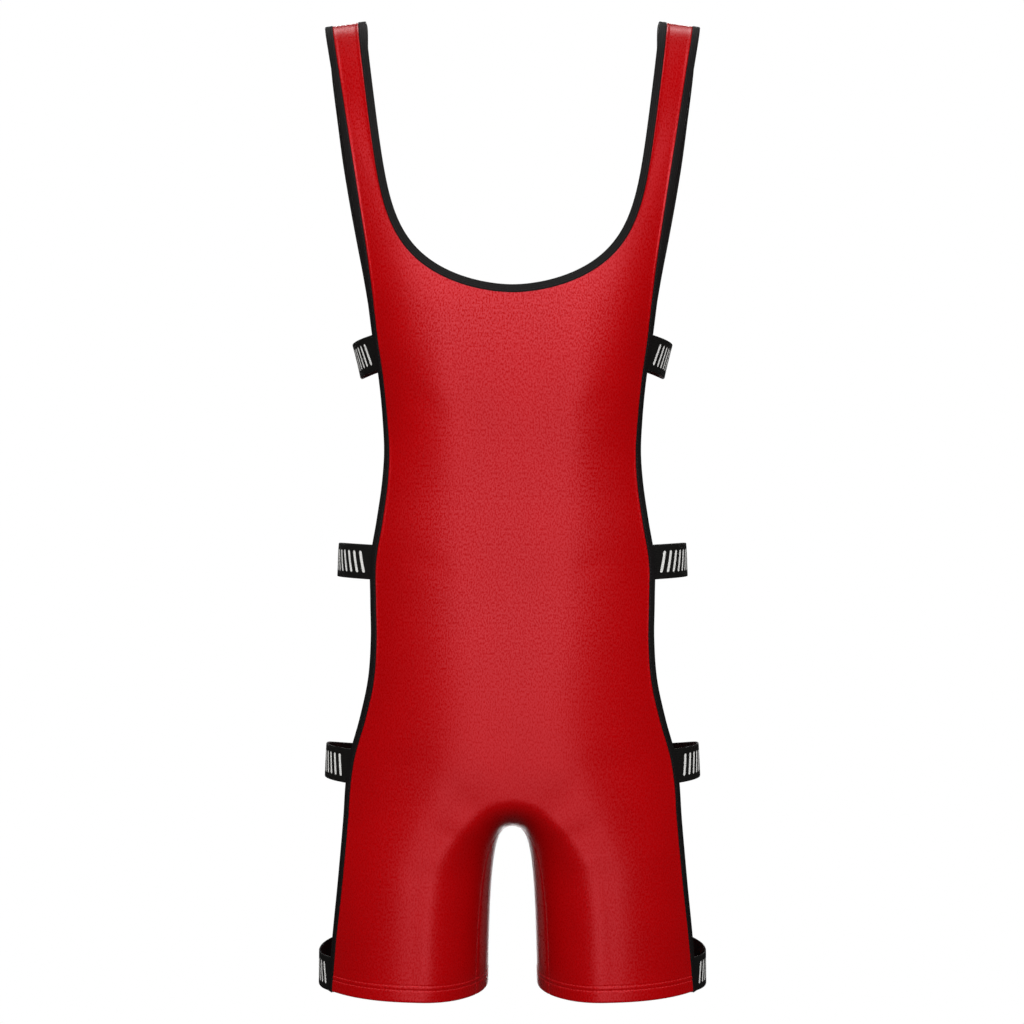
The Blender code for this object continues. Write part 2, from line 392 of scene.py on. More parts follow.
class SingletSewing(bpy.types.PropertyGroup):
    """Threads of the hems, seams and bindings."""

    cloth_thread: FloatVectorProperty(
        name="Cloth Thread",
        description="Colour of the thread in the hems and seams of the knit",
        subtype="COLOR",
        size=3,
        min=0,
        max=1,
        default=linear("#C02A30"),
    )
    elastic_thread: FloatVectorProperty(
        name="Elastic Thread",
        description="Colour of the thread that sews the elastic on",
        subtype="COLOR",
        size=3,
        min=0,
        max=1,
        default=linear("#1C1A1A"),
    )
    length: FloatProperty(
        name="Stitch Length",
        description="Length of one stitch",
        default=2.6 * MM,
        min=1 * MM,
        max=6 * MM,
        unit="LENGTH",
    )
    gap: FloatProperty(
        name="Stitch Gap",
        description="Distance from one stitch to the next",
        default=0.6 * MM,
        min=0.2 * MM,
        max=3 * MM,
        unit="LENGTH",
    )
    thread: FloatProperty(
        name="Thread Width",
        description="Width of the thread as it lies on the cloth",
        default=0.5 * MM,
        min=0.2 * MM,
        max=1 * MM,
        unit="LENGTH",
    )


class SingletStage(bpy.types.PropertyGroup):
    """Floor, light and camera."""

    floor_height: FloatProperty(
        name="Floor Height",
        description="Height of the floor, below the shoulder line",
        default=-1.6,
        min=-3,
        max=-0.9,
        unit="LENGTH",
    )
    floor_colour: FloatVectorProperty(
        name="Floor Colour",
        description="Colour of the matt floor",
        subtype="COLOR",
        size=3,
        min=0,
        max=1,
        default=linear("#F2F1EF"),
    )
    key_power: FloatProperty(
        name="Front Light",
        description="Power of the soft light behind the camera",
        default=26,
        min=0,
        max=1000,
        unit="POWER",
    )
    fill_power: FloatProperty(
        name="Corner Lights",
        description="Power of the large soft light at each corner of the room",
        default=17,
        min=0,
        max=1000,
        unit="POWER",
    )
    top_power: FloatProperty(
        name="High Light",
        description="Power of the wide soft light higher up, at the front and at the back",
        default=56,
        min=0,
        max=1000,
        unit="POWER",
    )
    overhead_power: FloatProperty(
        name="Overhead Light",
        description="Power of the soft light over the shoulders",
        default=16,
        min=0,
        max=1000,
        unit="POWER",
    )
    ambient: FloatProperty(
        name="Room Light",
        description="Light from all round, as a share of the white behind the garment",
        default=0.04,
        min=0,
        max=2,
    )
    distance: FloatProperty(
        name="Camera Distance",
        description="Distance of the camera from the middle of the garment",
        default=2,
        min=1,
        max=5,
        unit="LENGTH",
    )


class SingletSettings(bpy.types.PropertyGroup):
    """All the sizes and colours of the singlet."""

    cloth: PointerProperty(type=SingletCloth)
    elastic: PointerProperty(type=SingletElastic)
    sewing: PointerProperty(type=SingletSewing)
    stage: PointerProperty(type=SingletStage)


# The garment's form


def smooth_read(table, name, height):
    """A column of the table at these heights, by a smooth curve through its rows."""
    down = -table["height"] * MM
    value = table[name]
    step = np.diff(down)
    slope = np.diff(value) / step
    tangent = np.concatenate(
        [slope[:1], (slope[:-1] * step[1:] + slope[1:] * step[:-1]) / (step[1:] + step[:-1]), slope[-1:]]
    )
    place = np.clip(-np.asarray(height, float), down[0], down[-1])
    row = np.clip(np.searchsorted(down, place, side="right") - 1, 0, len(step) - 1)
    t = (place - down[row]) / step[row]
    start = (2 * t**3 - 3 * t**2 + 1) * value[row] + (t**3 - 2 * t**2 + t) * step[row] * tangent[row]
    end = (3 * t**2 - 2 * t**3) * value[row + 1] + (t**3 - t**2) * step[row] * tangent[row + 1]
    return start + end


def body(name, height):
    """A measure of the form at these heights, in metres, or the section's power."""
    return smooth_read(BODY, name, height) * (1 if name == "power" else MM)


def arch_reach(share, height, lobe):
    """Half the width of one of the nested arches at this height: share 0 is the real arch."""
    drop = np.maximum(CROTCH_Z + share * ARCH_RISE - height, 0)
    foot = ARCH_HALF + share * (lobe - ARCH_HALF)
    return foot * (1 - np.exp(-np.sqrt(drop / ARCH_DROP)))


def arch_share(x, height):
    """Which of the nested arches passes through the point, found by halving."""
    lobe = body("lobe", height)
    low = np.full(np.shape(x), -0.3)
    high = np.ones(np.shape(x))
    for _ in range(HALVINGS):
        middle = (low + high) / 2
        outside = arch_reach(middle, height, lobe) <= x
        low = np.where(outside, middle, low)
        high = np.where(outside, high, middle)
    return high


def shoulder_top(x):
    """Height of the strap's top at this distance from the middle."""
    return -SHOULDER_SLOPE * (np.abs(x) - NECK_HALF)


def fullness(x, height):
    """1 where the form has its full depth, 0 at its outline seen from the front."""
    x = np.abs(x)
    power = body("power", height)
    lobe = body("lobe", height)
    outward = np.maximum(x - lobe, 0) / (body("half_width", height) - lobe)
    inward = 1 - arch_share(x, height)
    rise = np.maximum(height + SHOULDER_DROP, 0) / (SHOULDER_DROP + shoulder_top(x))
    return (1 - outward**power - np.maximum(inward, 0) ** power) * (1 - rise**power)


def on_form(x, height, side):
    """Points of the form's front or back face."""
    x = np.asarray(x, float)
    height = np.asarray(height, float)
    share = np.maximum(fullness(x, height), 0) ** (1 / body("power", height))
    return np.stack([x, FACING[side] * body(side, height) * share, height], -1)


def outward_normal(points):
    """Unit normal of the filled form, from its field's slope along X, Y and Z."""

    def field(p):
        side_depth = np.where(p[..., 1] > 0, body("back", p[..., 2]), body("front", p[..., 2]))
        share = np.abs(p[..., 1]) / side_depth
        return share ** body("power", p[..., 2]) - fullness(p[..., 0], p[..., 2])

    steps = NORMAL_STEP * np.eye(3)
    slope = np.stack([field(points + step) - field(points - step) for step in steps], -1)
    return slope / np.linalg.norm(slope, axis=-1, keepdims=True)


def lengths(points):
    """Length along a line of points, from its first one."""
    return np.concatenate([[0], np.cumsum(np.linalg.norm(np.diff(points, axis=0), axis=1))])


def at_lengths(points, wanted):
    """Points at these lengths along a line."""
    length = lengths(points)
    return np.stack([np.interp(wanted, length, points[:, k]) for k in range(points.shape[1])], -1)


def evenly(points, count):
    """This many points along a dense curve, at equal lengths."""
    return at_lengths(points, np.linspace(0, lengths(points)[-1], count))


def neck_edge(side, strips):
    """Free edge of the neck, from the shoulder to the middle of the scoop, on the +X half."""
    down = (1 - np.cos(np.linspace(0, math.pi, FINE))) / 2
    x = NECK_HALF * (1 - NECK_TAPER * down) * (1 - down**NECK_CORNER) ** NECK_ROUND
    x *= 1 + NECK_SPREAD[side] * (1 - np.exp(-down / SPREAD_DEPTH))
    return evenly(on_form(x, -down * NECK_DEPTH[side], side), strips + 1)


def side_edge(side, top, foot, strips):
    """Free edge of the panel's side between two heights, on the +X half."""
    height = top + (foot - top) * np.linspace(0, 1, FINE) ** 2
    x = smooth_read(SIDE_EDGE, side, height) * MM
    return evenly(on_form(x, height, side), strips + 1)


def strap_top(side):
    """Height where the side edge starts, at the strap's outer corner."""
    return shoulder_top(SIDE_EDGE[side][0] * MM)


def leg_stations(top, foot, hem_depth, grading):
    """Heights from the top of a leg to its hem, closer together over the hem and its fold."""
    shares = np.linspace(0, 1, LEG_STRIPS + 1) ** grading
    above_hem = foot + hem_depth + 3 * MM
    leg = top + (above_hem - top) * shares
    down = np.linspace(0, 1, HEM_STRIPS + 1)[1:]
    hem = above_hem + (foot - above_hem) * (1 - (1 - down) ** 1.25)
    return np.concatenate([leg, hem])


def whole_side_edge(side, hem_depth):
    """The side edge's stations, a row for each row of the panel."""
    strap = side_edge(side, strap_top(side), NECK_FOOT_Z, NECK_STRIPS)
    trunk = side_edge(side, NECK_FOOT_Z, ARCH_FOOT_Z, CENTRE_STRIPS)
    leg_height = leg_stations(ARCH_FOOT_Z, HEM_Z + HEM_LIFT, hem_depth, 1)
    leg = on_form(smooth_read(SIDE_EDGE, side, leg_height) * MM, leg_height, side)
    return np.concatenate([strap[:-1], trunk[:-1], leg])


def seam_line(share, hem_depth):
    """A line down the inner leg, from the arch's top to the hem, on the +X half.

    share is -1 at the gusset's front seam, 0 at its middle and 1 at its back seam.
    """
    side = "front" if share < 0 else "back"

    def distance(drop):
        flared = GUSSET_LEG + (GUSSET_MIDDLE - GUSSET_LEG) * np.exp(-drop / GUSSET_FLARE)
        return np.abs(share) * flared

    def nested_arch(height, drop):
        power = body("power", height)
        return 1 - (1 - (distance(drop) / body(side, height)) ** power) ** (1 / power)

    apex = CROTCH_Z
    for _ in range(HALVINGS):
        apex = CROTCH_Z + nested_arch(apex, 0) * ARCH_RISE
    height = leg_stations(apex, HEM_Z, hem_depth, 2)
    drop = apex - height
    x = arch_reach(nested_arch(height, drop), height, body("lobe", height))
    x[0] = 0
    return np.stack([x, FACING[side] * distance(drop), height], -1)


def across(edge, side, distance, away=1):
    """The edge moved over the cloth, at right angles to itself: +1 is away from the neck opening."""
    tangent = np.gradient(edge, axis=0)
    tangent /= np.linalg.norm(tangent, axis=1, keepdims=True)
    direction = -FACING[side] * away * np.cross(outward_normal(edge), tangent)
    moved = edge + distance * direction
    moved = on_form(moved[:, 0], np.minimum(moved[:, 2], shoulder_top(moved[:, 0])), side)
    moved[edge[:, 0] == 0, 0] = 0
    return moved


def panel_grid(side, hem_depth):
    """Points of half a panel: a row from its inner to its outer edge at each station."""
    neck = across(neck_edge(side, NECK_STRIPS), side, EDGE_COVER)
    seam = seam_line(FACING[side], hem_depth)
    share = 1 - (1 - np.linspace(0, 1, CENTRE_STRIPS + 1)) ** 1.5
    centre_height = neck[-1, 2] + share * (seam[0, 2] - neck[-1, 2])
    centre = on_form(np.zeros(centre_height.shape), centre_height, side)
    inner = np.concatenate([neck[:-1], centre[:-1], seam])
    outer = across(whole_side_edge(side, hem_depth), side, EDGE_COVER, away=-1)
    width = 1.03 * np.linalg.norm(outer - inner, axis=1)[:, None]
    by_inner = np.tile(BY_BINDING, (len(inner), 1))
    by_inner[NECK_STRIPS + CENTRE_STRIPS :] = BY_SEAM
    middle = np.linspace(by_inner[:, -1], width[:, 0] - BY_BINDING[-1], MIDDLE_COLUMNS, axis=1)
    t = np.concatenate([by_inner[:, :-1], middle, width - BY_BINDING[-2::-1]], 1) / width
    level = np.concatenate([np.zeros(NECK_STRIPS + CENTRE_STRIPS), np.linspace(0, 1, len(seam))])
    x = inner[:, None, 0] * (1 - t) + outer[:, None, 0] * t
    fall = t ** (1 + level[:, None])
    height = inner[:, None, 2] * (1 - fall) + outer[:, None, 2] * fall
    grid = on_form(x, height, side)
    grid[NECK_STRIPS + CENTRE_STRIPS :, 0] = seam
    grid[0, :, 1] = 0
    return grid


def round_the_side(height, sink, rise, offset):
    """One dense line of a band, and where on it the band starts and ends behind the bindings."""
    angle = np.linspace(-math.pi / 2, math.pi / 2, FINE)
    backward = np.sin(angle) * body("back", height)
    eased = (backward + np.hypot(backward, BAND_BEND) - BAND_BEND) / 2
    edge_x = smooth_read(SIDE_EDGE, "front", height) * MM
    across_lobe = (edge_x - body("lobe", height)) / (body("half_width", height) - body("lobe", height))
    edge_share = across_lobe ** (body("power", height) / 2)
    z = height + offset - sink * (np.cos(angle) - edge_share) / (1 - edge_share)
    z += rise * eased / body("back", height)
    power = body("power", z)
    lobe = body("lobe", z)
    x = lobe + (body("half_width", z) - lobe) * np.abs(np.cos(angle)) ** (2 / power)
    side_depth = np.where(angle < 0, body("front", z), body("back", z))
    y = np.sign(angle) * side_depth * np.abs(np.sin(angle)) ** (2 / power)
    line = np.stack([x, y, z], -1)
    length = lengths(line)
    outermost = np.argmax(x)
    past_front, past_back = (x - smooth_read(SIDE_EDGE, side, z) * MM for side in FACING)
    start = np.interp(0, past_front[:outermost], length[:outermost]) - BAND_TUCK
    end = np.interp(0, -past_back[outermost:], length[outermost:]) + BAND_TUCK
    return line, start, end


# Meshes


def creased(points, side):
    """How far each point of a panel stands out or in for the listed creases."""
    total = np.zeros(points.shape[:-1])
    for x0, z0, x1, z1, width, rise in zip(*(column * MM for column in CREASES[side].values())):
        start = np.array([x0, z0])
        run = np.array([x1, z1]) - start
        from_start = points[..., [0, 2]] - start
        along = from_start @ run / (run @ run)
        bend = min(0.12 * np.hypot(*run), 10 * MM) * (0.25 - (along - 0.5) ** 2)
        off = (from_start[..., 0] * run[1] - from_start[..., 1] * run[0]) / np.hypot(*run) - bend
        fade = np.clip(1 - (2 * along - 1) ** 2, 0, 1) ** 1.5
        total += rise * fade * np.exp(-((off / width) ** 2))
    return total


def faded(distance, reach):
    """0 at the edge and 1 beyond this reach, with a soft start and end."""
    t = np.clip(distance / reach, 0, 1)
    return t * t * (3 - 2 * t)


def beside_binding(distance, settings):
    """The small roll of cloth beside the binding, by distance from the cloth's edge."""
    pressed = settings.elastic.binding_width - EDGE_COVER
    roll = 0.5 * MM * np.exp(-(((distance - pressed - 1.1 * MM) / (0.8 * MM)) ** 2))
    return roll - 0.1 * MM * np.exp(-(((distance - pressed) / (0.5 * MM)) ** 2))


def hem_relief(down, hem_depth):
    """Height of the hem's outer face at this distance from its fold: two stitched furrows."""
    furrows = sum(np.exp(-(((down - hem_depth + row) / (0.8 * MM)) ** 2)) for row in HEM_ROWS)
    folded = 1 / (1 + np.exp((down - hem_depth) / (0.35 * MM)))
    return 0.25 * MM * folded - 0.45 * MM * furrows


def hem_faces(down, thickness, hem_depth):
    """Offsets of the outer and inner face at this distance up from the hem's fold, outward positive."""
    layers = 1 + 1 / (1 + np.exp((down - hem_depth) / (0.25 * MM)))
    radius = thickness
    fold = np.sqrt(np.clip(1 - (1 - np.minimum(down, radius) / radius) ** 2, 0, 1))
    outer = hem_relief(down, hem_depth) * np.clip(down / (2 * MM), 0, 1) - radius * (1 - fold)
    inner = -thickness * layers + radius * (1 - fold)
    return outer, inner


def weld(name, grids):
    """A mesh from grids of (points, UV), which share points where they meet, with its open ends closed."""
    index = {}
    points = []
    quads = []
    corners = []

    def number(point):
        key = tuple(np.round(point, 7) + 0.0)
        if key not in index:
            index[key] = len(points)
            points.append(tuple(point))
        return index[key]

    for grid, uv in grids:
        ids = np.array([[number(p) for p in row] for row in grid])
        rows, cols = np.indices((ids.shape[0] - 1, ids.shape[1] - 1)).reshape(2, -1)
        places = np.stack([(rows, cols), (rows, cols + 1), (rows + 1, cols + 1), (rows + 1, cols)], -1)
        for quad, at in zip(ids[places[0], places[1]], uv[places[0], places[1]]):
            kept = [k for k in range(4) if quad[k] != quad[k - 1]]
            if len(kept) > 2:
                quads.append([int(quad[k]) for k in kept])
                corners.extend(at[kept])
    uses = Counter((q[k - 1], q[k]) for q in quads for k in range(len(q)))
    after = {b: a for a, b in uses if (b, a) not in uses}
    while after:
        start, following = after.popitem()
        ring = [start]
        while following != start:
            ring.append(following)
            following = after.pop(following)
        quads.append(ring)
        corners.extend([corners[0]] * len(ring))
    mesh = bpy.data.meshes.new(name)
    mesh.from_pydata(points, [], quads)
    layer = mesh.uv_layers.new(name="cut")
    layer.data.foreach_set("uv", np.asarray(corners, np.float32).ravel())
    mesh.validate()
    return face_out(mesh)


def face_out(mesh):
    """Turns every face round if the mesh encloses a negative volume."""
    mesh.calc_loop_triangles()
    points = np.empty(len(mesh.vertices) * 3)
    mesh.vertices.foreach_get("co", points)
    faces = np.empty(len(mesh.loop_triangles) * 3, int)
    mesh.loop_triangles.foreach_get("vertices", faces)
    if np.linalg.det(points.reshape(-1, 3)[faces.reshape(-1, 3)]).sum() < 0:
        mesh.flip_normals()
    mesh.shade_smooth()
    mesh.set_sharp_from_angle(angle=SHARP)
    return mesh


def mirrored(grids):
    """The same grids on the other side of the middle, their columns turned to face out."""
    return [((points * [-1, 1, 1])[:, ::-1], (uv * [-1, 1])[:, ::-1]) for points, uv in grids]


def rim(top, under, uv):
    """A strip that joins one edge of the outer face to the same edge of the inner one."""
    return np.stack([top, under], 1), np.stack([uv, uv], 1)


def turned(grid):
    """The same strip with its faces turned round."""
    points, uv = grid
    return points[::-1], uv[::-1]


def closed_shell(name, top, under, uv, open_runs):
    """A cloth from its right half, with rims at its outer edge, foot and the inner edge's open runs."""
    half = [(top, uv), (under[:, ::-1], uv[:, ::-1])]
    half.append(rim(top[:, -1], under[:, -1], uv[:, -1]))
    half.append(turned(rim(top[-1], under[-1], uv[-1])))
    half += [turned(rim(top[rows, 0], under[rows, 0], uv[rows, 0])) for rows in open_runs]
    return weld(name, half + mirrored(half))


def cut_uv(points):
    """Length across each row, less towards its outer edge, and height, in metres."""
    step = np.linalg.norm(np.diff(points, axis=1), axis=-1)[:, ::-1]
    length = np.concatenate([np.zeros((len(points), 1)), np.cumsum(step, 1)], 1)
    return np.stack([points[:, -1:, 0] - length[:, ::-1], points[..., 2]], -1)


def piece(name, mesh, material, slot, *nodes):
    """A piece of the garment in the scene, which stands for these nodes."""
    made = bpy.data.objects.new(name, mesh)
    mesh.materials.append(material)
    bpy.context.scene.collection.objects.link(made)
    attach(made, "root")
    if nodes:
        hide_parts(*nodes)
    return made


# Stitches

# One stitch lies along X, its middle in the middle. Its ends go down into the cloth.
STITCH_RINGS = ((-0.5, 0.35, -0.75), (-0.3, 1, 0.1), (0.3, 1, 0.1), (0.5, 0.35, -0.75))
STITCH_SIDES = 5


def stitches(name, runs, width, material, slot):
    """Stitches at these places: each run is (middles, directions, normals, length)."""
    turn = np.linspace(0, 2 * math.pi, STITCH_SIDES, endpoint=False) + math.pi / 2
    template = np.concatenate(
        [
            np.stack([np.full(STITCH_SIDES, x), r * np.cos(turn), r * 0.8 * np.sin(turn) + drop], -1)
            for x, r, drop in STITCH_RINGS
        ]
    )
    faces = []
    for ring in range(len(STITCH_RINGS) - 1):
        for k in range(STITCH_SIDES):
            a = ring * STITCH_SIDES + k
            b = ring * STITCH_SIDES + (k + 1) % STITCH_SIDES
            faces.append((a, b, b + STITCH_SIDES, a + STITCH_SIDES))
    last = (len(STITCH_RINGS) - 1) * STITCH_SIDES
    faces += [tuple(range(STITCH_SIDES))[::-1], tuple(range(last, last + STITCH_SIDES))]
    points = []
    for middle, direction, normal, length in runs:
        sideways = np.cross(normal, direction)
        for axis, scale in ((direction, length), (sideways, width / 2), (normal, width / 2)):
            axis /= np.linalg.norm(axis, axis=1, keepdims=True)
            axis *= scale
        place = template[None, :, 0:1] * direction[:, None] + template[None, :, 1:2] * sideways[:, None]
        points.append((middle[:, None] + place + template[None, :, 2:3] * normal[:, None]).reshape(-1, 3))
    points = np.concatenate(points)
    count = len(points) // len(template)
    all_faces = [tuple(v + n * len(template) for v in face) for n in range(count) for face in faces]
    mesh = bpy.data.meshes.new(name)
    mesh.from_pydata(points.tolist(), [], all_faces)
    return piece(name, face_out(mesh), material, slot)


def run_along(line, normals, sewing, lean=0.0, lift=0.0):
    """A run of stitches along a line. lean turns each one about the normal, lift raises it."""
    length = lengths(line)
    pitch = sewing.length + sewing.gap
    centres = np.arange(pitch / 2, length[-1] - pitch / 2, pitch)
    middle = at_lengths(line, centres)
    normal = np.stack([np.interp(centres, length, normals[:, k]) for k in range(3)], -1)
    normal /= np.linalg.norm(normal, axis=1, keepdims=True)
    ahead = at_lengths(line, centres + 0.3 * MM) - at_lengths(line, centres - 0.3 * MM)
    sideways = np.cross(normal, ahead)
    turn = lean * np.where(np.arange(len(centres)) % 2, 1, -1) if lean else np.zeros(len(centres))
    direction = np.cos(turn)[:, None] * ahead + np.sin(turn)[:, None] * sideways
    return middle + lift * normal, direction, normal, sewing.length


def both_sides(run):
    """The run and its mirror image."""
    middle, direction, normal, length = run
    flip = np.array([-1, 1, 1])
    return [run, (middle * flip, direction * flip, normal * flip, length)]


def level_run(grid, normals, length, sewing):
    """Runs of stitches that cross every column of the grid at this length along it, on both sides."""
    line = np.array([at_lengths(grid[:, k], [length])[0] for k in range(grid.shape[1])])
    return both_sides(run_along(line, normals, sewing))


def from_foot(points):
    """Distance up each column of a grid from its last row."""
    up = np.linalg.norm(np.diff(points, axis=0), axis=-1)[::-1].cumsum(0)[::-1]
    return np.concatenate([up, np.zeros((1, points.shape[1]))])


# Materials

# Sockets of a Mix node that mixes colours
MIX_LOW, MIX_HIGH, MIXED = 6, 7, 2


def add_node(tree, kind, values=None, links=None, **settings):
    """Adds a node with its settings, its inputs' values and links from other nodes' outputs."""
    node = tree.nodes.new(kind)
    for name, value in settings.items():
        setattr(node, name, value)
    for name, value in (values or {}).items():
        node.inputs[name].default_value = value
    for name, output in (links or {}).items():
        tree.links.new(output, node.inputs[name])
    return node


def new_material(name, colour, values):
    """An empty material with a shader that has these values, and its tree."""
    made = bpy.data.materials.new(name)
    made.use_nodes = True
    made.diffuse_color = (*colour, 1)
    tree = made.node_tree
    tree.nodes.clear()
    shader = add_node(tree, "ShaderNodeBsdfPrincipled", values)
    add_node(tree, "ShaderNodeOutputMaterial", links={"Surface": shader.outputs[0]})
    return made, tree, shader


def shaded(colour, amount):
    """The colour made lighter or darker, as the four numbers of a socket."""
    return (*(min(c * amount, 1) for c in colour), 1)


def knit_material(cloth):
    """Warp-knitted polyamide-elastane: smooth, with a satin sheen where it faces the light.

    The crowns of the loops gleam more than the hollows, so the sheen has a fine even grain that the
    dull sides lack. Real loops are about 0.4 mm wide, too fine to show, so the grain is drawn about
    three times as coarse.
    """
    colour = cloth.colour
    made, tree, shader = new_material(
        "knitted polyamide-elastane",
        colour,
        {"IOR": 1.53, "Specular Tint": (1, 0.21, 0.25, 1)},
    )
    uv = add_node(tree, "ShaderNodeUVMap", uv_map="cut")
    grain_scale = (1 / cloth.loop, 0.6 / cloth.loop, 1)
    grain_place = add_node(tree, "ShaderNodeMapping", {"Scale": grain_scale}, {"Vector": uv.outputs[0]})
    grain = add_node(
        tree,
        "ShaderNodeTexNoise",
        {"Scale": 1, "Detail": 1.5, "Roughness": 0.6},
        {"Vector": grain_place.outputs[0]},
        noise_dimensions="2D",
    )
    place = add_node(tree, "ShaderNodeTexCoord")
    flow = add_node(
        tree, "ShaderNodeTexNoise", {"Scale": 14, "Detail": 2}, {"Vector": place.outputs["Object"]}
    )
    fleck = add_node(
        tree,
        "ShaderNodeMapRange",
        {"From Min": 0.3, "From Max": 0.7},
        {"Value": grain.outputs[0]},
    )
    coloured = add_node(
        tree,
        "ShaderNodeMix",
        {MIX_LOW: shaded(colour, 0.98), MIX_HIGH: shaded(colour, 1.02)},
        {"Factor": fleck.outputs[0]},
        data_type="RGBA",
    )
    gloss = add_node(
        tree,
        "ShaderNodeMapRange",
        {"From Min": 0.3, "From Max": 0.7, "To Min": 0.24, "To Max": 0.44},
        {"Value": grain.outputs[0]},
    )
    gleam = add_node(
        tree,
        "ShaderNodeMapRange",
        {"From Min": 0.4, "From Max": 0.6, "To Min": 0.3, "To Max": 1.0},
        {"Value": grain.outputs[0]},
    )
    uneven = add_node(
        tree,
        "ShaderNodeMapRange",
        {"From Min": 0.3, "From Max": 0.7, "To Min": 0.96, "To Max": 1.04},
        {"Value": flow.outputs[0]},
    )
    tone = add_node(
        tree,
        "ShaderNodeHueSaturation",
        links={"Color": coloured.outputs[MIXED], "Value": uneven.outputs[0]},
    )
    bump = add_node(
        tree,
        "ShaderNodeBump",
        {"Strength": 1.0, "Distance": 0.08 * MM},
        {"Height": grain.outputs[0]},
    )
    tree.links.new(tone.outputs[0], shader.inputs["Base Color"])
    tree.links.new(gloss.outputs[0], shader.inputs["Roughness"])
    tree.links.new(gleam.outputs[0], shader.inputs["Specular IOR Level"])
    tree.links.new(bump.outputs[0], shader.inputs["Normal"])
    return made


def ribbed(tree, uv, along, over, strength, depth):
    """A bump of crossing ribs: their pitch along the length and over the width, in metres."""
    split = add_node(tree, "ShaderNodeSeparateXYZ", links={0: uv.outputs[0]})
    waves = []
    for output, pitch in ((split.outputs[0], along), (split.outputs[1], over)):
        turns = add_node(tree, "ShaderNodeMath", {1: 2 * math.pi / pitch}, {0: output}, operation="MULTIPLY")
        waves.append(add_node(tree, "ShaderNodeMath", links={0: turns.outputs[0]}, operation="SINE"))
    height = add_node(
        tree, "ShaderNodeMath", links={0: waves[0].outputs[0], 1: waves[1].outputs[0]}, operation="ADD"
    )
    bump = add_node(
        tree,
        "ShaderNodeBump",
        {"Strength": strength, "Distance": depth},
        {"Height": height.outputs[0]},
    )
    return split, height, bump


def binding_material(elastic):
    """Folded knitted elastic: matt black with fine ribs across its length.

    The ribs are 0.5 mm apart on the real elastic and are drawn 1.2 mm apart so that they show.
    """
    colour = elastic.binding_colour
    made, tree, shader = new_material(
        "knitted folded elastic",
        colour,
        {"Roughness": 0.62, "IOR": 1.5, "Specular IOR Level": 0.15},
    )
    uv = add_node(tree, "ShaderNodeUVMap", uv_map="cut")
    _, height, bump = ribbed(tree, uv, 1.2 * MM, 1.6 * MM, 0.5, 0.1 * MM)
    share = add_node(
        tree,
        "ShaderNodeMapRange",
        {"From Min": -2, "From Max": 2},
        {"Value": height.outputs[0]},
    )
    # Painted highlight and shade: the black is made lighter on the crests of the ribs and darker in their
    # hollows, by the ribs' height
    coloured = add_node(
        tree,
        "ShaderNodeMix",
        {MIX_LOW: shaded(colour, 0.6), MIX_HIGH: shaded(colour, 1.5)},
        {"Factor": share.outputs[0]},
        data_type="RGBA",
    )
    tree.links.new(coloured.outputs[MIXED], shader.inputs["Base Color"])
    tree.links.new(bump.outputs[0], shader.inputs["Normal"])
    return made


def band_material(elastic):
    """Woven elastic: matt black cords along its length, with white bars woven in.

    The cords are 0.7 mm apart on the real band and are drawn 1.5 mm apart so that they show.
    """
    colour = elastic.band_colour
    made, tree, shader = new_material(
        "woven elastic with bars",
        colour,
        {"Roughness": 0.68, "IOR": 1.5, "Specular IOR Level": 0.15},
    )
    uv = add_node(tree, "ShaderNodeUVMap", uv_map="cut")
    split, height, bump = ribbed(tree, uv, 1.1 * MM, 1.5 * MM, 0.5, 0.14 * MM)

    # Distance from the nearest bar's middle line, with round ends, one step at a time
    straight = elastic.bar_height / 2 - elastic.bar_width / 2
    found = {"along": split.outputs[0], "over": split.outputs[1]}
    for name, operation, *sources in (
        ("slanted", "MULTIPLY_ADD", "over", -BAR_LEAN, "along"),
        ("pitches", "DIVIDE", "slanted", elastic.bar_pitch),
        ("turn", "FRACT", "pitches"),
        ("off_middle", "SUBTRACT", "turn", 0.5),
        ("sideways", "MULTIPLY", "off_middle", elastic.bar_pitch * UPRIGHT),
        ("off_centre", "ABSOLUTE", "over"),
        ("past_end", "SUBTRACT", "off_centre", straight),
        ("endways", "MAXIMUM", "past_end", 0),
        ("sideways_squared", "POWER", "sideways", 2),
        ("endways_squared", "POWER", "endways", 2),
        ("squared", "ADD", "sideways_squared", "endways_squared"),
        ("distance", "SQRT", "squared"),
    ):
        values = {k: source for k, source in enumerate(sources) if not isinstance(source, str)}
        links = {k: found[source] for k, source in enumerate(sources) if isinstance(source, str)}
        found[name] = add_node(tree, "ShaderNodeMath", values, links, operation=operation).outputs[0]
    white = add_node(
        tree,
        "ShaderNodeMapRange",
        {
            "From Min": elastic.bar_width / 2 + 0.12 * MM,
            "From Max": elastic.bar_width / 2 - 0.12 * MM,
        },
        {"Value": found["distance"]},
    )
    # Painted highlight and shade: the ground and the bars are made lighter on the crests of the cords and
    # darker between them, by the cords' height
    share = add_node(
        tree,
        "ShaderNodeMapRange",
        {"From Min": -2, "From Max": 2},
        {"Value": height.outputs[0]},
    )
    ground, bar = (
        add_node(
            tree,
            "ShaderNodeMix",
            {MIX_LOW: shaded(shade, low), MIX_HIGH: shaded(shade, high)},
            {"Factor": share.outputs[0]},
            data_type="RGBA",
        )
        for shade, low, high in ((colour, 0.6, 1.5), (elastic.bar_colour, 0.86, 1.1))
    )
    face = add_node(
        tree,
        "ShaderNodeMix",
        links={"Factor": white.outputs[0], MIX_LOW: ground.outputs[MIXED], MIX_HIGH: bar.outputs[MIXED]},
        data_type="RGBA",
    )
    tree.links.new(face.outputs[MIXED], shader.inputs["Base Color"])
    tree.links.new(bump.outputs[0], shader.inputs["Normal"])
    return made


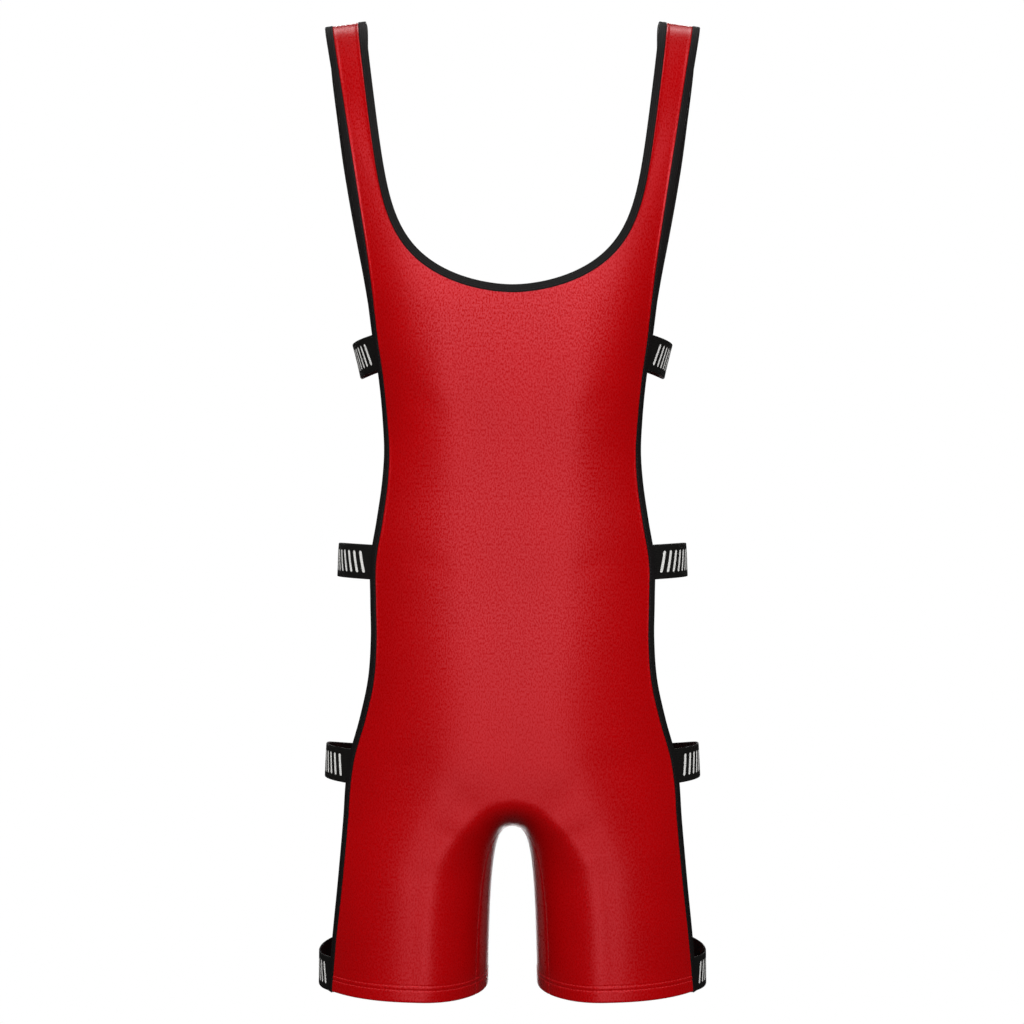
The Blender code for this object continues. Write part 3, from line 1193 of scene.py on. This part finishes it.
def thread_material(name, colour):
    """Spun polyester sewing thread: matt, with the light and shade of its twist painted into its colour as
    random flecks.
    """
    made, tree, shader = new_material(
        name, colour, {"Roughness": 0.6, "IOR": 1.55, "Specular IOR Level": 0.16}
    )
    place = add_node(tree, "ShaderNodeTexCoord")
    painted_twist_shade = add_node(
        tree,
        "ShaderNodeTexNoise",
        {"Scale": 1500, "Detail": 1},
        {"Vector": place.outputs["Object"]},
    )
    # Painted light and shade of the twist: random lighter and darker flecks along the thread
    coloured = add_node(
        tree,
        "ShaderNodeMix",
        {MIX_LOW: shaded(colour, 0.75), MIX_HIGH: shaded(colour, 1.25)},
        {"Factor": painted_twist_shade.outputs[0]},
        data_type="RGBA",
    )
    tree.links.new(coloured.outputs[MIXED], shader.inputs["Base Color"])
    return made


def floor_material(colour):
    """Matt painted board: pale, with a hardly visible unevenness of its paint."""
    made, tree, shader = new_material("matt painted board", colour, {"Roughness": 0.9, "IOR": 1.45})
    place = add_node(tree, "ShaderNodeTexCoord")
    paint = add_node(
        tree,
        "ShaderNodeTexNoise",
        {"Scale": 3, "Detail": 3},
        {"Vector": place.outputs["Object"]},
    )
    coat = add_node(
        tree,
        "ShaderNodeMix",
        {MIX_LOW: shaded(colour, 0.98), MIX_HIGH: shaded(colour, 1.01)},
        {"Factor": paint.outputs[0]},
        data_type="RGBA",
    )
    tree.links.new(coat.outputs[MIXED], shader.inputs["Base Color"])
    return made


def shared(name, make, *arguments):
    """The material of this name, made once."""
    return bpy.data.materials.get(name) or make(*arguments)


def thread(sewing, kind):
    """The thread that sews the red knit or the black elastic."""
    name = f"spun polyester thread, {kind}"
    colour = sewing.cloth_thread if kind == "red" else sewing.elastic_thread
    return shared(name, thread_material, name, colour)


# Operators


class SINGLET_OT_panels(bpy.types.Operator):
    """Makes the front and back panels with their hems and shoulder seams"""

    bl_idname = "singlet.panels"
    bl_label = "Panels"

    def execute(self, context):
        settings = context.scene.singlet
        cloth, sewing = settings.cloth, settings.sewing
        knit = shared("knitted polyamide-elastane", knit_material, cloth)
        for side in FACING:
            points = panel_grid(side, cloth.hem_depth)
            normals = outward_normal(points)
            normals[0] = normals[0] * [1, 0, 1]
            normals[0] /= np.linalg.norm(normals[0], axis=-1, keepdims=True)
            down = from_foot(points)
            outer, inner = hem_faces(down, cloth.thickness, cloth.hem_depth)
            from_inner = np.linalg.norm(points - points[:, :1], axis=-1)
            from_outer = np.linalg.norm(points - points[:, -1:], axis=-1)
            at_seam = np.arange(len(points))[:, None] >= NECK_STRIPS + CENTRE_STRIPS
            at_neck = np.arange(len(points))[:, None] < NECK_STRIPS
            from_crotch = np.linalg.norm(points - points[NECK_STRIPS + CENTRE_STRIPS, 0], axis=-1)
            from_gusset = np.where(at_seam, np.minimum(from_inner, from_crotch), from_crotch)
            folds = creased(points, side) * faded(from_outer, 20 * MM) * faded(from_gusset, 30 * MM)
            folds *= np.where(at_neck, faded(from_inner, 20 * MM), 1) * (0.5 + 0.5 * faded(down, 30 * MM))
            sunk = -0.35 * MM * np.exp(-(((down.max(0) - down) / (1.2 * MM)) ** 2))
            sunk -= 0.5 * MM * at_seam * np.exp(-((from_inner / (1.2 * MM)) ** 2))
            sunk += beside_binding(from_outer, settings) + at_neck * beside_binding(from_inner, settings)
            top = points + (outer + folds + sunk)[..., None] * normals
            under = points + (inner + folds + sunk)[..., None] * normals
            top[0, :, 1] = under[0, :, 1] = 0
            trunk = slice(NECK_STRIPS, NECK_STRIPS + CENTRE_STRIPS + 1)
            top[trunk, 0, 0] = under[trunk, 0, 0] = 0
            open_runs = (slice(0, trunk.start + 1), slice(trunk.stop - 1, None))
            mesh = closed_shell(f"{side}_panel", top, under, cut_uv(points), open_runs)
            made = piece(f"{side}_cloth", mesh, knit, "cloth", f"{side}_panel")
            runs = []
            for row in HEM_ROWS:
                runs += level_run(top[::-1], normals[-HEM_STRIPS // 2], cloth.hem_depth - row, sewing)
            runs += level_run(top, normals[1], SHOULDER_ROW, sewing)
            name = f"{side}_hem_and_shoulder_stitches"
            sewn = stitches(name, runs, sewing.thread, thread(sewing, "red"), "cloth")
        return {"FINISHED"}


class SINGLET_OT_gusset(bpy.types.Operator):
    """Makes the gusset between the legs with its flat seams"""

    bl_idname = "singlet.gusset"
    bl_label = "Gusset"

    def execute(self, context):
        settings = context.scene.singlet
        cloth, sewing = settings.cloth, settings.sewing
        knit = shared("knitted polyamide-elastane", knit_material, cloth)
        shares = np.linspace(-1, 1, GUSSET_COLUMNS)
        points = np.stack([seam_line(share, cloth.hem_depth) for share in shares], 1)
        normals = outward_normal(points)
        down = from_foot(points)
        outer, inner = hem_faces(down, cloth.thickness, cloth.hem_depth)
        from_front = np.linalg.norm(points - points[:, :1], axis=-1)
        from_back = np.linalg.norm(points - points[:, -1:], axis=-1)
        to_seam = np.minimum(from_front, from_back)
        sunk = -0.5 * MM * np.exp(-((to_seam / (1.2 * MM)) ** 2))
        top = points + (outer + sunk)[..., None] * normals
        under = points + (inner + sunk)[..., None] * normals
        top[0, :, 0] = under[0, :, 0] = 0
        uv = np.stack([points[..., 1], points[..., 2]], -1)
        mesh = closed_shell("crotch_gusset", top, under, uv, (slice(None),))
        made = piece("gusset_cloth", mesh, knit, "cloth", "crotch_gusset")
        runs = []
        for column in (0, -1):
            seam = run_along(top[:, column], normals[:, column], sewing, lean=0.7, lift=0.2 * MM)
            runs += both_sides(seam)
        for row in HEM_ROWS:
            runs += level_run(top[::-1], normals[-HEM_STRIPS // 2], cloth.hem_depth - row, sewing)
        sewn = stitches("gusset_stitches", runs, sewing.thread, thread(sewing, "red"), "cloth")
        return {"FINISHED"}


def swept(lines, profile):
    """Grid of a closed section along a strip, and its UV.

    lines gives, for each place across the strip, the (points, normals) along it.
    profile is the section: (place across, offset outward) in metres.
    """
    grid = np.stack([lines[u][0] + v * lines[u][1] for u, v in profile], 1)
    middle = lines[profile[0][0]][0]
    section = np.concatenate([[0], np.cumsum([math.dist(a, b) for a, b in zip(profile, profile[1:])])])
    uv = np.stack(np.broadcast_arrays(lengths(middle)[:, None], section[None]), -1)
    return grid, uv


def binding_profile(elastic, cloth):
    """Section of the folded elastic: two legs and the fold that joins them round the cloth's edge."""
    width, thick = elastic.binding_width, elastic.binding_thickness
    over = ELASTIC_CLEAR
    below = -cloth.thickness - over
    outside = thick + over
    inside = below - thick
    middle = (outside + inside) / 2
    radius = (outside - inside) / 2
    turn = np.linspace(0, math.pi, 11)
    bend = [(radius * 0.9 * (1 - math.sin(a)), middle + radius * math.cos(a)) for a in turn]
    inner_radius = radius - thick
    under_bend = [
        (radius * 0.9 + 0.2 * MM - inner_radius * 0.9 * math.sin(a), middle + inner_radius * math.cos(a))
        for a in turn[::-1]
    ]
    legs = [width * k for k in (0.3, 0.5, 0.7, 0.86, 0.97)]
    profile = [(width, over), (width, over + 0.45 * thick), (0.985 * width, outside - 0.1 * MM)]
    profile += [(u, outside) for u in legs[::-1]]
    profile += bend
    profile += [(u, inside) for u in legs]
    profile += [(0.985 * width, inside + 0.1 * MM), (width, below - 0.45 * thick), (width, below)]
    profile += [(0.5 * width, below)]
    profile += under_bend
    profile += [(0.5 * width, over), (width, over)]
    return [(round(u, 7), v) for u, v in profile]


def binding_lines(edges, profile, away):
    """The binding's lines at each place across it, up the front and down the back."""
    lines = {}
    for u in {u for u, _ in profile}:
        front, back = (across(edge, side, u, away) for side, edge in edges.items())
        joined = np.concatenate([front[::-1], back[1:]])
        top = len(front) - 1
        joined[top, 1] = 0
        normals = outward_normal(joined)
        normals[top] *= [1, 0, 1]
        normals[top] /= np.linalg.norm(normals[top])
        lines[u] = (joined, normals)
    return lines


class SINGLET_OT_bindings(bpy.types.Operator):
    """Makes the folded elastic round the neck and along both sides"""

    bl_idname = "singlet.bindings"
    bl_label = "Bindings"

    def execute(self, context):
        settings = context.scene.singlet
        elastic, sewing, cloth = settings.elastic, settings.sewing, settings.cloth
        black = shared("knitted folded elastic", binding_material, elastic)
        profile = binding_profile(elastic, cloth)
        neck = {side: neck_edge(side, 120) for side in FACING}
        sides = {}
        for side in FACING:
            whole = np.concatenate(
                [
                    side_edge(side, strap_top(side), NECK_FOOT_Z, 400)[:-1],
                    side_edge(side, NECK_FOOT_Z, HEM_Z + HEM_LIFT, 800),
                ]
            )
            sides[side] = evenly(whole, 241)
        stitch_place = round(elastic.binding_width - 1.5 * MM, 7)
        for name, edges, away in (("neck_binding", neck, 1), ("side_binding", sides, -1)):
            lines = binding_lines(edges, profile + [(stitch_place, 0)], away)
            grid, uv = swept(lines, profile)
            line, normals = lines[stitch_place]
            outside = elastic.binding_thickness + ELASTIC_CLEAR
            runs = [
                run_along(line + outside * normals, normals, sewing),
                run_along(line - (cloth.thickness + outside + ELASTIC_CLEAR) * normals, -normals, sewing),
            ]
            length = 2 * lengths(line)[-1] / BINDING_STRETCH
            if name == "neck_binding":
                half = [(grid, uv)]
                mesh = weld(name, half + mirrored(half))
                made = piece("neck_folded_elastic", mesh, black, "binding", name)
                both = [run for each in runs for run in both_sides(each)]
                sewn = stitches(
                    "neck_binding_stitches", both, sewing.thread, thread(sewing, "black"), "binding"
                )
                self.declare(made, elastic, length, sewn)
                continue
            for place in ("right", "left"):
                half = [(grid, uv)] if place == "right" else mirrored([(grid, uv)])
                mesh = weld(f"{name}_{place}", half)
                made = piece(f"{place}_folded_elastic", mesh, black, "binding", f"{name}_{place}")
                mine = [both_sides(each)[place == "left"] for each in runs]
                sewn = stitches(
                    f"{place}_binding_stitches", mine, sewing.thread, thread(sewing, "black"), "binding"
                )
                self.declare(made, elastic, length / 2, sewn)
        return {"FINISHED"}

    def declare(self, made, elastic, length, sewn):
        """Takes the length the elastic was cut to, its fold included, and does nothing with it."""


def band_profile(elastic):
    """Section of a woven band with its softly rounded edges."""
    half, thick = elastic.band_width / 2, elastic.band_thickness
    turn = np.linspace(0, math.pi, 7)
    outside = -BAND_INSET - thick / 2
    places = np.linspace(-half + 2 * MM, half - 2 * MM, 15)
    radius = thick / 2

    rounding = [(half - radius * 1.6 * (1 - math.sin(a)), radius * math.cos(a)) for a in turn]
    profile = [(o, outside + radius) for o in places]
    profile += [(o, outside + v) for o, v in rounding]
    profile += [(o, outside - radius) for o in places[::-1]]
    profile += [(-o, outside - v) for o, v in rounding]
    profile.append(profile[0])
    return [(round(float(o), 7), v) for o, v in profile]


class SINGLET_OT_bands(bpy.types.Operator):
    """Makes the eight woven elastic bands"""

    bl_idname = "singlet.bands"
    bl_label = "Side Bands"

    def execute(self, context):
        settings = context.scene.singlet
        elastic, sewing = settings.elastic, settings.sewing
        woven = shared("woven elastic with bars", band_material, elastic)
        profile = band_profile(elastic)
        outside = np.arange(len(profile)) < len(profile) // 2
        routes = [BANDS[name] * MM for name in ("height", "sink", "rise")]
        for number, *route in zip(BANDS["number"], *routes):
            _, start, end = round_the_side(*route, 0)
            length = end - start
            bars = math.floor((length - 2 * elastic.plain_end) / elastic.bar_pitch)
            first = (length - bars * elastic.bar_pitch) / 2
            along = np.concatenate(
                [
                    np.linspace(0, first, BAND_END_STRIPS + 1)[:-1],
                    np.linspace(first, length - first, BAND_STATIONS),
                    np.linspace(length - first, length, BAND_END_STRIPS + 1)[1:],
                ]
            )
            leaning = np.clip(np.minimum(along, length - along) / (5 * MM), 0, 1)
            lines = {}
            uv = np.zeros((len(along), len(profile), 2))
            for k, (offset, _) in enumerate(profile):
                if offset not in lines:
                    line, start, end = round_the_side(*route, offset)
                    share = (end - start) / length
                    placed = at_lengths(line, start + along * share + BAR_LEAN * offset * leaning)
                    lines[offset] = (placed, outward_normal(placed))
                uv[:, k, 0] = along - first + BAR_LEAN * offset
                uv[:, k, 1] = offset + (0 if outside[k] else PLAIN)
            grid, _ = swept(lines, profile)
            last = BAND_END_STRIPS + BAND_STATIONS
            parts = [
                (grid[rows], uv[rows] + [0, moved])
                for rows, moved in (
                    (slice(0, BAND_END_STRIPS + 1), PLAIN),
                    (slice(BAND_END_STRIPS, last), 0),
                    (slice(last - 1, None), PLAIN),
                )
            ]
            for place in ("right", "left"):
                half = parts if place == "right" else mirrored([(g, t * [-1, 1]) for g, t in parts])
                name = f"band_{number:.0f}_{place}"
                made = piece(f"woven_band_{number:.0f}_{place}", weld(name, half), woven, "band", name)
        return {"FINISHED"}


# Stage: the floor, where the lights aim, and the view of 1024 pixels of 0.9 mm. All are in metres
# but the sensor's width, which is in millimetres.
FLOOR_RADIUS = 2.9
FLOOR_SIDES = 96
LIGHT_AIM = Vector((0, 0, -0.4))
VIEW_WIDTH = 0.9216
SENSOR_WIDTH = 36
CAMERA_X = -0.45 * MM
CAMERA_Z = -439.2 * MM


class SINGLET_OT_stage(bpy.types.Operator):
    """Makes the pale floor, the soft light and the camera"""

    bl_idname = "singlet.stage"
    bl_label = "Stage"

    def execute(self, context):
        scene = context.scene
        stage = scene.singlet.stage
        turn = np.linspace(0, 2 * math.pi, FLOOR_SIDES, endpoint=False)
        ring = [(FLOOR_RADIUS * math.cos(a), FLOOR_RADIUS * math.sin(a), 0) for a in turn]
        mesh = bpy.data.meshes.new("floor")
        mesh.from_pydata(ring, [], [tuple(range(len(ring)))])
        mesh.materials.append(floor_material(stage.floor_colour))
        floor = bpy.data.objects.new("floor", mesh)
        floor.location.z = stage.floor_height
        scene.collection.objects.link(floor)
        # The floor stays out of the light on the cloth, which it would pale from below
        floor.visible_diffuse = False
        floor.visible_glossy = False

        world = bpy.data.worlds.new("white studio")
        world.use_nodes = True
        tree = world.node_tree
        background = tree.nodes["Background"]
        background.inputs["Color"].default_value = (1, 1, 1, 1)
        # White behind the garment, and a small share of it as light on the cloth
        rays = add_node(tree, "ShaderNodeLightPath")
        share = add_node(
            tree,
            "ShaderNodeMapRange",
            {"To Min": stage.ambient, "To Max": 1},
            {"Value": rays.outputs["Is Camera Ray"]},
        )
        tree.links.new(share.outputs[0], background.inputs["Strength"])
        scene.world = world
        scene.view_settings.view_transform = "Standard"
        scene.view_settings.look = "None"

        # Name, power, azimuth from the front in degrees, distance, height against the shoulders, width
        # and height of the panel, and whether the cloth shows a highlight of it. The corner lights only
        # lighten the sides, so the sampling that clears noise from highlights is off for them.
        lights = (
            ("front_light", stage.key_power, 0, 2.7, -0.7, 1.0, 2.4, True),
            ("back_light", stage.key_power, 180, 2.7, -0.7, 1.0, 2.4, True),
            ("high_front_light", stage.top_power, 0, 2.4, 0.75, 3.2, 0.5, True),
            ("high_back_light", stage.top_power, 180, 2.4, 0.75, 3.2, 0.5, True),
            ("overhead_front_light", stage.overhead_power, 0, 1.0, 2.0, 1.6, 0.8, True),
            ("overhead_back_light", stage.overhead_power, 180, 1.0, 2.0, 1.6, 0.8, True),
            ("front_left_light", stage.fill_power, -60, 2.5, -0.3, 1.4, 1.6, False),
            ("front_right_light", stage.fill_power, 60, 2.5, -0.3, 1.4, 1.6, False),
            ("back_left_light", stage.fill_power, -120, 2.5, -0.3, 1.4, 1.6, False),
            ("back_right_light", stage.fill_power, 120, 2.5, -0.3, 1.4, 1.6, False),
        )
        for name, power, turned_by, distance, high, width, height, shine in lights:
            data = bpy.data.lights.new(name, "AREA")
            data.shape = "RECTANGLE"
            data.size, data.size_y = width, height
            data.energy = power
            light = bpy.data.objects.new(name, data)
            azimuth = math.radians(turned_by)
            light.location = (distance * math.sin(azimuth), -distance * math.cos(azimuth), high)
            light.rotation_euler = (LIGHT_AIM - light.location).to_track_quat("-Z", "Y").to_euler()
            light.visible_camera = False
            light.visible_glossy = shine
            data.cycles.use_multiple_importance_sampling = shine
            scene.collection.objects.link(light)

        data = bpy.data.cameras.new("camera")
        data.sensor_width = SENSOR_WIDTH
        data.lens = SENSOR_WIDTH * stage.distance / VIEW_WIDTH
        camera = bpy.data.objects.new("camera", data)
        camera.location = (CAMERA_X, -stage.distance, CAMERA_Z)
        camera.rotation_euler = (math.pi / 2, 0, 0)
        scene.collection.objects.link(camera)
        scene.camera = camera
        return {"FINISHED"}


class SINGLET_PT_sidebar(bpy.types.Panel):
    """Lists the steps that build the singlet and its main settings"""

    bl_idname = "SINGLET_PT_sidebar"
    bl_label = "Training Singlet"
    bl_space_type = "VIEW_3D"
    bl_region_type = "UI"
    bl_category = "Singlet"

    def draw(self, context):
        settings = context.scene.singlet
        for step in STEPS:
            self.layout.operator(step.bl_idname)
        for group in (settings.cloth, settings.elastic, settings.sewing, settings.stage):
            box = self.layout.box()
            for name in group.__annotations__:
                box.prop(group, name)


GROUPS = (SingletCloth, SingletElastic, SingletSewing, SingletStage, SingletSettings)
STEPS = (SINGLET_OT_panels, SINGLET_OT_gusset, SINGLET_OT_bindings, SINGLET_OT_bands, SINGLET_OT_stage)


def register():
    for each in (*GROUPS, *STEPS, SINGLET_PT_sidebar):
        bpy.utils.register_class(each)
    bpy.types.Scene.singlet = PointerProperty(type=SingletSettings)


def unregister():
    del bpy.types.Scene.singlet
    for each in reversed((*GROUPS, *STEPS, SINGLET_PT_sidebar)):
        bpy.utils.unregister_class(each)


def main():
    register()
    bpy.ops.singlet.panels()
    bpy.ops.singlet.gusset()
    bpy.ops.singlet.bindings()
    bpy.ops.singlet.bands()
    bpy.ops.singlet.stage()


if __name__ == "__main__":
    main()
